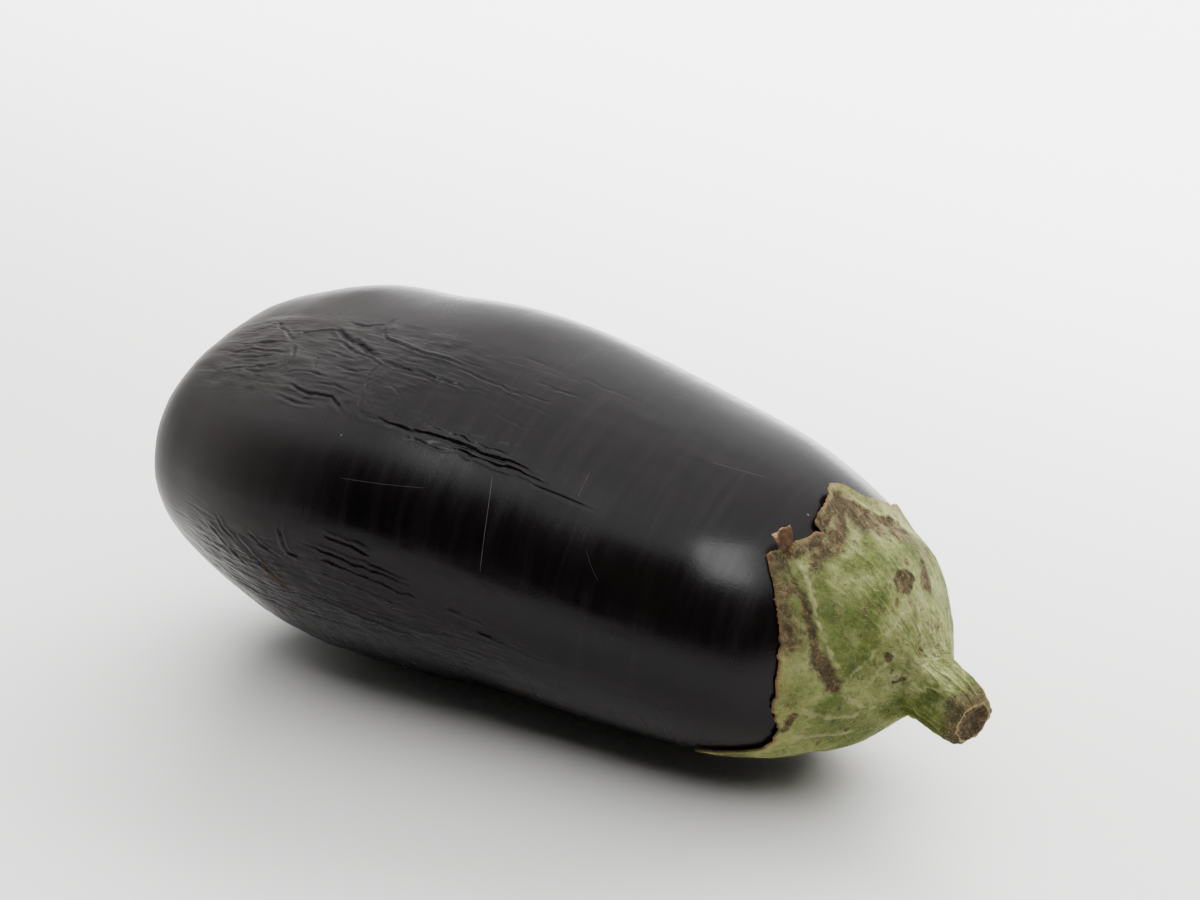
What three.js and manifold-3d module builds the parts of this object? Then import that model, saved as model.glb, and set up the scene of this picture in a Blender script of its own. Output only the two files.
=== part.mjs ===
// An eggplant as picked, lying on its side: the fruit, the torn leathery calyx that caps its
// shoulder, and the short ridged stem. Millimetres, +Z up, the stem towards +X.
// The origin is the middle of the flat spot on the belly, which carries the weight.
import * as THREE from "three";
import { mergeVertices } from "three/addons/utils/BufferGeometryUtils.js";
import Module from "manifold-3d";

const wasm = await Module();
wasm.setup();

// The fruit lies with its blossom tip at x = 0 and the surface it rests on at z = 0. This point of
// that surface becomes the origin.
const restX = 82;
const restY = 4;

// Cross sections of the fruit from the blossom tip to the hidden end under the calyx:
// x, radius, and the y and z of the centre. The centres bow sideways, so the fruit is bent a little.
const bodySections = [
  [0, 0, -8.5, 45.1],
  [3, 12.5, -8.5, 45.1],
  [12.5, 31, -8, 45.6],
  [28, 38.5, -7.5, 45.6],
  [48, 43.5, -5, 45.1],
  [72, 44.5, 0, 44.1],
  [98, 43, 5.5, 41.4],
  [125, 40.5, 8, 38.9],
  [148, 37, 8.5, 37.6],
  [165, 31.5, 9.5, 36.1],
];
const fruitEnd = [
  [176, 22.3, 10.9, 33.6],
  [182.5, 12.8, 10.6, 31.3],
  [185, 0, 10.3, 30.6],
];
const capEnd = [
  [178, 23.7, 10.8, 33.8],
  [185.5, 14.2, 11.2, 31.4],
  [189, 9.3, 10.5, 29.9],
  [191.5, 7.2, 9.4, 29.1],
];
const shoulder = bodySections.length - 1; // the last section that fruit and calyx share

// How a section leaves the round: shares of its radius, and how they grow along the fruit.
const oval = { cos2: 0.033, sin2: 0, cos3: -0.02, sin3: 0.023 };
const ovalGrowth = { cos2: 0.09, sin2: 0.014, cos3: 0.046, sin3: -0.109 };
const bodyLength = 187;

// Soft swellings and hollows: place along x, angle round the fruit, reach along and round, height.
const swellings = [
  { x: 15, angle: 78, reach: 7, spread: 22, height: -0.6 },
  { x: 38, angle: 60, reach: 9, spread: 20, height: 0.5 },
  { x: 55, angle: 58, reach: 7, spread: 14, height: -0.8 },
  { x: 90, angle: 52, reach: 13, spread: 20, height: 0.6 },
  { x: 90, angle: 254, reach: 24, spread: 12, height: 0.8 },
  { x: 93, angle: 234, reach: 10, spread: 12, height: -0.7 },
  { x: 146, angle: 46, reach: 10, spread: 16, height: 0.4 },
  { x: 150, angle: 140, reach: 9, spread: 13, height: 0.9 },
  { x: 14, angle: 30, reach: 10, spread: 24, height: -1.6 },
  { x: 14, angle: 275, reach: 10, spread: 24, height: -1.6 },
  { x: 163, angle: 231, reach: 7, spread: 14, height: -1.1 },
  { x: 168, angle: 45, reach: 7, spread: 18, height: -0.9 },
];
const blossomScar = { radius: 4, depth: 1.2 };

// The fruit draws in under the calyx, so that the calyx lies almost level with the skin.
const drawIn = { from: 166, to: 176, depth: 1.5 };

// The calyx: its torn rim as angle round the fruit and x, the middle of each of its five sepals,
// its thickness at the rim and at the crown, and the gap that it keeps to the fruit.
const rim = [
  [0, 157], [6, 152], [12, 157], [24, 165], [42, 169.5], [52, 170], [60, 169], [66, 167.6],
  [73, 165.6], [79.4, 161.2], [83, 161.8], [86.3, 163.6], [92, 164.9], [99, 165.8], [101.5, 168.3],
  [104, 168], [106, 166.9], [113, 166.3], [118, 165], [122, 163.6], [125, 163.4], [128, 161.4],
  [133, 163.4], [142.6, 166], [155, 168.6], [171.3, 170], [184.2, 169.7], [192, 170.8],
  [200.5, 170.4], [209.2, 168.2], [216.8, 160.6], [220.6, 155.8], [222.7, 150.2], [225, 155],
  [231, 161], [242, 167], [256, 170], [275, 165], [287, 158], [293, 152.5], [298, 156],
  [310, 164.5], [330, 170], [347, 165],
];
const sepals = [6, 78, 150, 222, 294];
const rib = { height: 0.5, spread: 6 };
const rimThickness = 0.8;
const crownThickness = 1.5;
const fruitGap = 0.5;

// The scrap of dried sepal that stands up from the rim and curls back.
const curl = { x: 164.2, angle: 123, width: 5.2, length: 8.5, thickness: 0.8, radius: 3.4 };

// The stem: its direction, the radius at steps along it, its ridges, and how much it droops.
const stemDirection = new THREE.Vector3(0.95, -0.28, -0.1).normalize();
const stemSections = [
  [0, 7.2],
  [2, 6.6],
  [4.5, 6],
  [8, 5.5],
  [11, 5.5],
  [13.4, 5.7],
  [14.4, 5.2],
  [14.8, 4.4],
  [14.5, 2.6],
];
const stemTip = 14.8;
const stemDroop = 0.8;
const stemRidges = { count: 6, height: 0.05, fineCount: 11, fineHeight: 0.025 };
const stemGap = 0.3;

const fruitColumns = 72;
const fruitRows = 36;
const calyxStep = 3.5; // most degrees between two columns of the calyx
const calyxOuterRows = 11;
const calyxInnerRows = 11;
const stemColumns = 36;

const degree = Math.PI / 180;

function smooth(low, high, value) {
  return THREE.MathUtils.smoothstep(value, low, high);
}

// The difference of two angles in degrees, from -180 to 180.
function turn(a, b) {
  return ((((a - b + 180) % 360) + 360) % 360) - 180;
}

// Makes a function that gives x, radius, y and z at a station: a Catmull-Rom curve through the
// sections, with station 0 at the first and 1 at the next.
function stations(sections) {
  const profile = new THREE.SplineCurve(sections.map(([x, r]) => new THREE.Vector2(x, r)));
  const spine = new THREE.SplineCurve(sections.map((s) => new THREE.Vector2(s[2], s[3])));
  const last = sections.length - 1;
  return (station) => {
    const along = profile.getPoint(station / last);
    const centre = spine.getPoint(station / last);
    return { x: along.x, radius: Math.max(along.y, 0), y: centre.x, z: centre.y };
  };
}

const fruitAt = stations([...bodySections, ...fruitEnd]);
const capAt = stations([...bodySections, ...capEnd]);
const fruitLast = bodySections.length + fruitEnd.length - 1;
const capLast = bodySections.length + capEnd.length - 1;

// The share of the radius at an angle, for a section at x.
function outline(x, angle) {
  const a = angle * degree;
  const along = x / bodyLength - 0.5;
  const share = (name, wave) => (oval[name] + ovalGrowth[name] * along) * wave;
  const two = share("cos2", Math.cos(2 * a)) + share("sin2", Math.sin(2 * a));
  const three = share("cos3", Math.cos(3 * a)) + share("sin3", Math.sin(3 * a));
  return 1 + two + three;
}

function swelling(x, angle) {
  let height = 0;
  for (const s of swellings) {
    const along = (x - s.x) / s.reach;
    const round = turn(angle, s.angle) / s.spread;
    height += s.height * Math.exp(-(along * along + round * round) / 2);
  }
  return height;
}

// A point of the fruit's skin.
function skin(station, angle) {
  const at = fruitAt(station);
  const fade = smooth(0, 20, at.radius);
  const r =
    at.radius * outline(at.x, angle) +
    swelling(at.x, angle) * fade -
    drawIn.depth * smooth(drawIn.from, drawIn.to, at.x) * fade;
  const scar = blossomScar.depth * Math.exp(-((at.radius / blossomScar.radius) ** 2));
  const inX = station < 2 ? scar : 0;
  const a = angle * degree;
  return new THREE.Vector3(at.x + inX, at.y + r * Math.cos(a), at.z + r * Math.sin(a));
}

// The skin moved outwards by a distance.
function overSkin(station, angle, distance) {
  const step = 0.02;
  const along = skin(station + step, angle).sub(skin(station - step, angle));
  const round = skin(station, angle + 1).sub(skin(station, angle - 1));
  return skin(station, angle).addScaledVector(round.cross(along).normalize(), distance);
}

// A point of the outer cap: its sections turn from facing along x to facing along the stem, and
// their outline changes from the fruit's to the ridged stem's.
const facingX = new THREE.Vector3(1, 0, 0);
const toStem = new THREE.Quaternion().setFromUnitVectors(facingX, stemDirection);

function ridged(angle) {
  const broad = stemRidges.height * Math.cos(stemRidges.count * angle * degree);
  const fine = stemRidges.fineHeight * Math.cos((stemRidges.fineCount * angle + 40) * degree);
  return 1 + broad + fine;
}

function cap(station, angle) {
  const at = capAt(station);
  const share = smooth(shoulder, capLast, station);
  const rotation = new THREE.Quaternion().slerp(toStem, share);
  const form = THREE.MathUtils.lerp(outline(at.x, angle), ridged(angle), share);
  const r = at.radius * form + swelling(at.x, angle) * (1 - share);
  const a = angle * degree;
  const spoke = new THREE.Vector3(0, r * Math.cos(a), r * Math.sin(a)).applyQuaternion(rotation);
  return spoke.add(new THREE.Vector3(at.x, at.y, at.z));
}

// The station of the fruit whose section lies at x, found by halving.
function stationAt(x) {
  let low = 0;
  let high = fruitLast - 1;
  for (let i = 0; i < 30; i++) {
    const middle = (low + high) / 2;
    if (fruitAt(middle).x < x) low = middle;
    else high = middle;
  }
  return low;
}

// The x of the calyx rim at an angle, along straight lines between the rim's points.
function rimAt(angle) {
  const next = rim.findIndex(([a]) => a > angle);
  const b = next < 0 ? [rim[0][0] + 360, rim[0][1]] : rim[next];
  const a = next < 0 ? rim[rim.length - 1] : rim[Math.max(next - 1, 0)];
  const share = b[0] > a[0] ? (angle - a[0]) / (b[0] - a[0]) : 0;
  return THREE.MathUtils.lerp(a[1], b[1], share);
}

// The raised rib along the middle of each sepal, which fades out towards the rim and the stem.
function ribs(angle, share) {
  let height = 0;
  for (const middle of sepals) {
    const round = turn(angle, middle) / rib.spread;
    height += rib.height * Math.exp((-round * round) / 2);
  }
  return height * smooth(0, 0.3, share) * (1 - smooth(0.75, 1, share));
}

// A point of the calyx's outer face, from its rim (share 0) to its neck (share 1).
function calyxOutside(angle, share) {
  const start = stationAt(rimAt(angle));
  const station = THREE.MathUtils.lerp(start, capLast, share);
  const thickness = THREE.MathUtils.lerp(rimThickness, crownThickness, smooth(0, 0.4, share));
  const raised = thickness + ribs(angle, share);
  const crown = cap(station, angle);
  const blend = smooth(shoulder, shoulder + 1, station);
  if (blend >= 1) {
    const middle = capAt(station);
    const outwards = crown.clone().sub(new THREE.Vector3(middle.x, middle.y, middle.z));
    return crown.addScaledVector(outwards.normalize(), ribs(angle, share));
  }
  return overSkin(station, angle, fruitGap + raised).lerp(crown, blend);
}

// A point of its inner face, over the fruit.
function calyxInside(angle, share) {
  const station = THREE.MathUtils.lerp(stationAt(rimAt(angle)), fruitLast - 0.05, share);
  return overSkin(station, angle, fruitGap);
}

// A closed body through rings of points. Each end is closed by a fan to its middle point.
function closedBody(rings, firstMiddle, lastMiddle) {
  const count = rings[0].length;
  const points = [firstMiddle, ...rings.flat(), lastMiddle];
  const at = (row, column) => 1 + row * count + (column % count);
  const index = [];
  for (let column = 0; column < count; column++) {
    index.push(0, at(0, column + 1), at(0, column));
    for (let row = 0; row < rings.length - 1; row++) {
      const a = at(row, column);
      const b = at(row, column + 1);
      const c = at(row + 1, column + 1);
      const d = at(row + 1, column);
      index.push(a, b, c, a, c, d);
    }
    const lastRow = rings.length - 1;
    index.push(at(lastRow, column), at(lastRow, column + 1), points.length - 1);
  }
  const geometry = new THREE.BufferGeometry().setFromPoints(points);
  geometry.setIndex(index);
  return geometry;
}

function solid(geometry) {
  const bare = geometry.clone();
  bare.deleteAttribute("normal");
  bare.deleteAttribute("uv");
  const merged = mergeVertices(bare, 1e-4);
  const vertProperties = merged.attributes.position.array;
  const triVerts = new Uint32Array(merged.index.array);
  return new wasm.Manifold(new wasm.Mesh({ numProp: 3, vertProperties, triVerts }));
}

function geometryOf(body) {
  const mesh = body.getMesh();
  const geometry = new THREE.BufferGeometry();
  geometry.setAttribute("position", new THREE.BufferAttribute(mesh.vertProperties, 3));
  geometry.setIndex(new THREE.BufferAttribute(mesh.triVerts, 1));
  geometry.computeVertexNormals();
  return geometry;
}

function ringOf(columns, pointAt) {
  return columns.map((angle) => pointAt(angle));
}

// The fruit, with the flat spot cut into its belly where it rests.
function makeFruit() {
  const columns = Array.from({ length: fruitColumns }, (_, i) => (360 * i) / fruitColumns);
  const rings = [];
  for (let row = 1; row < fruitRows; row++) {
    const station = 0.12 + ((fruitLast - 0.2) * row) / fruitRows;
    rings.push(ringOf(columns, (angle) => skin(station, angle)));
  }
  const body = solid(closedBody(rings, skin(0, 0), skin(fruitLast, 0)));
  const ground = new THREE.BoxGeometry(240, 160, 20);
  ground.translate(bodyLength / 2, 0, -10);
  return geometryOf(body.subtract(solid(ground)));
}

// The curled scrap: a strip that leaves the rim and bends back over a round of its own.
function makeCurl() {
  const station = stationAt(curl.x);
  const root = overSkin(station, curl.angle, fruitGap + rimThickness / 2);
  const outwards = overSkin(station, curl.angle, 2).sub(skin(station, curl.angle)).normalize();
  const back = skin(station - 0.1, curl.angle - 2).sub(skin(station, curl.angle)).normalize();
  const across = new THREE.Vector3().crossVectors(outwards, back).normalize();
  const steps = 9;
  const rings = [];
  for (let i = 0; i <= steps; i++) {
    const bend = (curl.length / curl.radius) * (i / steps);
    const lift = curl.radius * (1 - Math.cos(bend));
    const reach = curl.radius * Math.sin(bend) - 1.5;
    const middle = root.clone().addScaledVector(outwards, lift).addScaledVector(back, reach);
    const normal = outwards.clone().multiplyScalar(Math.cos(bend));
    normal.addScaledVector(back, -Math.sin(bend));
    const half = (curl.width / 2) * (1 - 0.35 * (i / steps) ** 2);
    const corner = (side, face) =>
      middle
        .clone()
        .addScaledVector(across, side * half)
        .addScaledVector(normal, (face * curl.thickness) / 2);
    rings.push([corner(-1, -1), corner(1, -1), corner(1, 1), corner(-1, 1)]);
  }
  const middleOf = (ring) => ring[0].clone().add(ring[2]).multiplyScalar(0.5);
  return solid(closedBody(rings, middleOf(rings[0]), middleOf(rings[steps])));
}

function calyxColumns() {
  const columns = [];
  rim.forEach(([angle], i) => {
    const next = i + 1 < rim.length ? rim[i + 1][0] : rim[0][0] + 360;
    const count = Math.max(1, Math.round((next - angle) / calyxStep));
    for (let k = 0; k < count; k++) columns.push(angle + ((next - angle) * k) / count);
  });
  return columns;
}

// The calyx: a cup over the fruit's shoulder, thin at the rim, with a neck that meets the stem.
function makeCalyx() {
  const columns = calyxColumns();
  const rings = [];
  for (let row = calyxInnerRows; row >= 0; row--) {
    const share = row / (calyxInnerRows + 0.5);
    rings.push(ringOf(columns, (angle) => calyxInside(angle, share)));
  }
  for (let row = 0; row <= calyxOuterRows; row++) {
    const share = row / calyxOuterRows;
    rings.push(ringOf(columns, (angle) => calyxOutside(angle, share)));
  }
  const inner = skin(fruitLast, 0).addScaledVector(facingX, fruitGap);
  const [x, , y, z] = capEnd[capEnd.length - 1];
  const body = solid(closedBody(rings, inner, new THREE.Vector3(x, y, z)));
  return geometryOf(body.add(makeCurl()));
}

// The stem: ridged, flared where it meets the calyx, and cut off with a shallow hollow.
function makeStem() {
  const columns = Array.from({ length: stemColumns }, (_, i) => (360 * i) / stemColumns);
  const [x, , y, z] = capEnd[capEnd.length - 1];
  const root = new THREE.Vector3(x, y, z).addScaledVector(stemDirection, stemGap);
  const middleAt = (along) => {
    const droop = stemDroop * (along / stemTip) ** 2;
    return root.clone().addScaledVector(stemDirection, along).add(new THREE.Vector3(0, 0, -droop));
  };
  const rings = stemSections.map(([along, radius]) =>
    ringOf(columns, (angle) => {
      const r = radius * ridged(angle);
      const a = angle * degree;
      const spoke = new THREE.Vector3(0, r * Math.cos(a), r * Math.sin(a));
      return spoke.applyQuaternion(toStem).add(middleAt(along));
    }),
  );
  return closedBody(rings, middleAt(0), middleAt(stemTip - 0.5));
}

const skinMaterial = new THREE.MeshStandardMaterial({ color: 0x17110f, roughness: 0.35 });
const calyxMaterial = new THREE.MeshStandardMaterial({ color: 0x8c9667, roughness: 0.8 });
const stemMaterial = new THREE.MeshStandardMaterial({ color: 0x6f8a45, roughness: 0.85 });

function named(name, geometry, material) {
  const mesh = new THREE.Mesh(geometry, material);
  mesh.name = name;
  return mesh;
}

const plant = new THREE.Group();
plant.position.set(-restX, -restY, 0);
plant.add(named("fruit", makeFruit(), skinMaterial));
plant.add(named("calyx", makeCalyx(), calyxMaterial));
plant.add(named("stem", makeStem(), stemMaterial));

const eggplant = new THREE.Group();
eggplant.name = "eggplant";
eggplant.add(plant);

export default eggplant;
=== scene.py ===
import math

import bpy
import numpy as np
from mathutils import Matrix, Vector


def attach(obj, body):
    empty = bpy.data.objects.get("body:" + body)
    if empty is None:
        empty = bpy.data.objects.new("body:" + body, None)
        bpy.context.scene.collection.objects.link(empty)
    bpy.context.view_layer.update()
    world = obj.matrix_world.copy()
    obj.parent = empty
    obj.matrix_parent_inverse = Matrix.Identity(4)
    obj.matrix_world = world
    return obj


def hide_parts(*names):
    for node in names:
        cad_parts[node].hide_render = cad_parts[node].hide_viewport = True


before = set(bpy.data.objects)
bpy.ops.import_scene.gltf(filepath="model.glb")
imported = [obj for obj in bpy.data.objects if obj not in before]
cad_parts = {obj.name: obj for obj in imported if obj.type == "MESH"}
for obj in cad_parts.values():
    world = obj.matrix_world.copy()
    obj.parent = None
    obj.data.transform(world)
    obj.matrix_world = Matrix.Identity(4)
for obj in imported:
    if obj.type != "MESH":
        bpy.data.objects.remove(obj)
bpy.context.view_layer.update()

print("frame loaded", sorted(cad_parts))

mm = 0.001

# The outer form, in millimetres: the sections of the solids, with a finer rim and stem.
form = {
    "rest": (82.0, 4.0),            # the flat spot's middle, from the blossom tip
    "body": [                       # x, radius, centre y, centre z
        (0, 0, -8.5, 45.1), (3, 12.5, -8.5, 45.1), (12.5, 31, -8, 45.6), (28, 38.5, -7.5, 45.6),
        (48, 43.5, -5, 45.1), (72, 44.5, 0, 44.1), (98, 43, 5.5, 41.4), (125, 40.5, 8, 38.9),
        (148, 37, 8.5, 37.6), (165, 31.5, 9.5, 36.1)],
    "fruitEnd": [(176, 22.3, 10.9, 33.6), (182.5, 12.8, 10.6, 31.3), (185, 0, 10.3, 30.6)],
    "capEnd": [(178, 23.7, 10.8, 33.8), (185.5, 14, 11, 31.2), (189, 9.2, 10.3, 29.9),
               (191.5, 7.6, 9.4, 29.4)],
    "length": 187.0,
    "oval": (0.033, 0.0, -0.02, 0.023),         # shares of cos2, sin2, cos3, sin3
    "ovalGrowth": (0.09, 0.014, 0.046, -0.109),
    "swellings": [                  # x, angle, reach, spread, height
        (15, 78, 7, 22, -0.6), (38, 60, 9, 20, 0.5), (55, 58, 7, 14, -0.8), (90, 52, 13, 20, 0.6),
        (90, 254, 24, 12, 0.8), (93, 234, 10, 12, -0.7), (146, 46, 10, 16, 0.4), (150, 140, 9, 13, 0.9),
        (14, 30, 10, 24, -1.6), (14, 275, 10, 24, -1.6), (163, 231, 7, 14, -1.1),
        (158, 42, 9, 16, -0.5), (175, 24, 6, 18, 1)],
    "blossomScar": (4.0, 1.2),      # radius, depth
    "drawIn": (166.0, 176.0, 1.5),  # from, to, depth
}
shoulder = len(form["body"]) - 1
fruitRows = np.array(form["body"] + form["fruitEnd"], float)
capRows = np.array(form["body"] + form["capEnd"], float)
fruitLast = len(fruitRows) - 1
capLast = len(capRows) - 1


# smooth step: 3s^2 - 2s^3 of the share s of the way from low to high
def smoothStep(low, high, value):
    s = np.clip((value - low) / (high - low), 0, 1)
    return s * s * (3 - 2 * s)


# 1 between the middle two of four limits, falling smoothly to 0 at the outer two
def window(value, limits):
    a, b, c, d = limits
    return smoothStep(a, b, value) * (1 - smoothStep(c, d, value))


# vectors divided by their lengths
def unit(vectors):
    return vectors / np.maximum(np.linalg.norm(vectors, axis=-1, keepdims=True), 1e-9)


# the difference of two angles in degrees, from -180 to 180
def turnBetween(a, b):
    return (a - b + 180) % 360 - 180


# uniform Catmull-Rom curve through the rows, with station 0 at the first row and 1 at the next
def alongRows(rows, station):
    last = len(rows) - 1
    station = np.clip(station, 0, last)
    i = np.minimum(station.astype(int), last - 1)
    w = (station - i)[..., None]
    before = rows[np.maximum(i - 1, 0)]
    a = rows[i]
    b = rows[i + 1]
    after = rows[np.minimum(i + 2, last)]
    t0 = (b - before) / 2
    t1 = (after - a) / 2
    return (2 * a - 2 * b + t0 + t1) * w**3 + (3 * b - 3 * a - 2 * t0 - t1) * w**2 + t0 * w + a


# 1 plus waves of two and three round the section, each growing evenly along x
def outline(x, angle):
    a = np.radians(angle)
    along = x / form["length"] - 0.5
    waves = (np.cos(2 * a), np.sin(2 * a), np.cos(3 * a), np.sin(3 * a))
    shares = zip(form["oval"], form["ovalGrowth"], waves)
    return 1 + sum((k + g * along) * wave for k, g, wave in shares)


# the sum of soft round humps: height times exp(-(along^2 + round^2) / 2)
def swelling(x, angle):
    total = 0
    for cx, ca, reach, spread, height in form["swellings"]:
        far = ((x - cx) / reach) ** 2 + (turnBetween(angle, ca) / spread) ** 2
        total = total + height * np.exp(-far / 2)
    return total


# moves a point measured from the blossom tip into the part's frame
def placed(x, y, z):
    return np.stack([x - form["rest"][0], y - form["rest"][1], z], -1)


# skin: the section's centre plus its radius, shaped by outline and swellings, at an angle, less
# the draw-in under the calyx, and with the dimple depth exp(-(radius / r)^2) at the blossom scar
def skin(station, angle):
    station, angle = np.broadcast_arrays(np.asarray(station, float), np.asarray(angle, float))
    at = alongRows(fruitRows, station)
    x = at[..., 0]
    radius = np.maximum(at[..., 1], 0)
    fade = smoothStep(0, 20, radius)
    start, end, depth = form["drawIn"]
    r = radius * outline(x, angle) + fade * (swelling(x, angle) - depth * smoothStep(start, end, x))
    scarRadius, scarDepth = form["blossomScar"]
    inward = np.where(station < 2, scarDepth * np.exp(-(radius / scarRadius) ** 2), 0)
    a = np.radians(angle)
    return placed(x + inward, at[..., 2] + r * np.cos(a), at[..., 3] + r * np.sin(a))


# unit normals of the skin: round crossed with along, each a small central difference
def skinNormal(station, angle):
    along = skin(station + 0.02, angle) - skin(station - 0.02, angle)
    around = skin(station, angle + 1) - skin(station, angle - 1)
    return unit(np.cross(around, along))


stationTable = np.linspace(0, fruitLast, 2400)
xTable = alongRows(fruitRows, stationTable)[:, 0]


# the station of the section at x, read off the monotone table
def stationAt(x):
    return np.interp(x, xTable, stationTable)


# smooth random values over a plane: random values on a lattice, smoothly interpolated, summed
# over octaves that are each half as high and twice as fine
def latticeNoise(u, v, seed, octaves=3):
    table = np.random.default_rng(seed).uniform(-1, 1, (256, 256))
    total = np.zeros(np.broadcast(u, v).shape)
    scale = 1.0
    for _ in range(octaves):
        x = u * scale
        y = v * scale
        i = np.floor(x).astype(int)
        j = np.floor(y).astype(int)
        fx = x - i
        fy = y - j
        fx = fx * fx * (3 - 2 * fx)
        fy = fy * fy * (3 - 2 * fy)
        lowRow = table[i % 256, j % 256] * (1 - fx) + table[(i + 1) % 256, j % 256] * fx
        highRow = table[i % 256, (j + 1) % 256] * (1 - fx) + table[(i + 1) % 256, (j + 1) % 256] * fx
        total = total + (lowRow * (1 - fy) + highRow * fy) / scale
        scale *= 2
    return total


# an object that holds this data, linked to the scene
def newObject(name, data):
    made = bpy.data.objects.new(name, data)
    bpy.context.scene.collection.objects.link(made)
    return made


# a mesh object from rings of points (rows, columns, 3) in millimetres, closed round the columns;
# each end is closed by a fan to its middle point
def meshOfRings(name, rings, first, last, masks=None, sharpRows=()):
    rows, columns = rings.shape[:2]
    points = np.concatenate([rings.reshape(-1, 3), [first, last]]) * mm
    i = np.arange(rows - 1)[:, None] * columns
    j = np.arange(columns)[None, :]
    k = (j + 1) % columns
    quads = np.stack([i + j, i + k, i + columns + k, i + columns + j], -1).reshape(-1, 4)
    j = j[0]
    k = k[0]
    end = (rows - 1) * columns
    startFan = np.stack([np.full(columns, rows * columns), k, j], -1)
    endFan = np.stack([end + j, end + k, np.full(columns, rows * columns + 1)], -1)
    mesh = bpy.data.meshes.new(name)
    mesh.vertices.add(len(points))
    mesh.vertices.foreach_set("co", points.astype(np.float32).ravel())
    loops = np.concatenate([quads.ravel(), startFan.ravel(), endFan.ravel()])
    sizes = np.concatenate([np.full(len(quads), 4), np.full(2 * columns, 3)])
    mesh.loops.add(len(loops))
    mesh.loops.foreach_set("vertex_index", loops.astype(np.int32))
    mesh.polygons.add(len(sizes))
    mesh.polygons.foreach_set("loop_start", np.r_[0, np.cumsum(sizes)[:-1]].astype(np.int32))
    mesh.update(calc_edges=True)
    mesh.polygons.foreach_set("use_smooth", np.ones(len(sizes), bool))
    if len(sharpRows):
        edges = np.zeros(len(mesh.edges) * 2, np.int32)
        mesh.edges.foreach_get("vertices", edges)
        edges = edges.reshape(-1, 2)
        row = edges // columns
        flat = (row[:, 0] == row[:, 1]) & (edges < rows * columns).all(1)
        sharp = flat & np.isin(row[:, 0], [r % rows for r in sharpRows])
        attribute = mesh.attributes.new("sharp_edge", "BOOLEAN", "EDGE")
        attribute.data.foreach_set("value", sharp)
    for key, values in (masks or {}).items():
        full = np.concatenate([np.broadcast_to(values, (rows, columns)).ravel(), [0, 0]])
        full[-2] = full[0]
        full[-1] = full[end]
        attribute = mesh.attributes.new(key, "FLOAT", "POINT")
        attribute.data.foreach_set("value", full.astype(np.float32))
    mesh.validate()
    return newObject(name, mesh)


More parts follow.
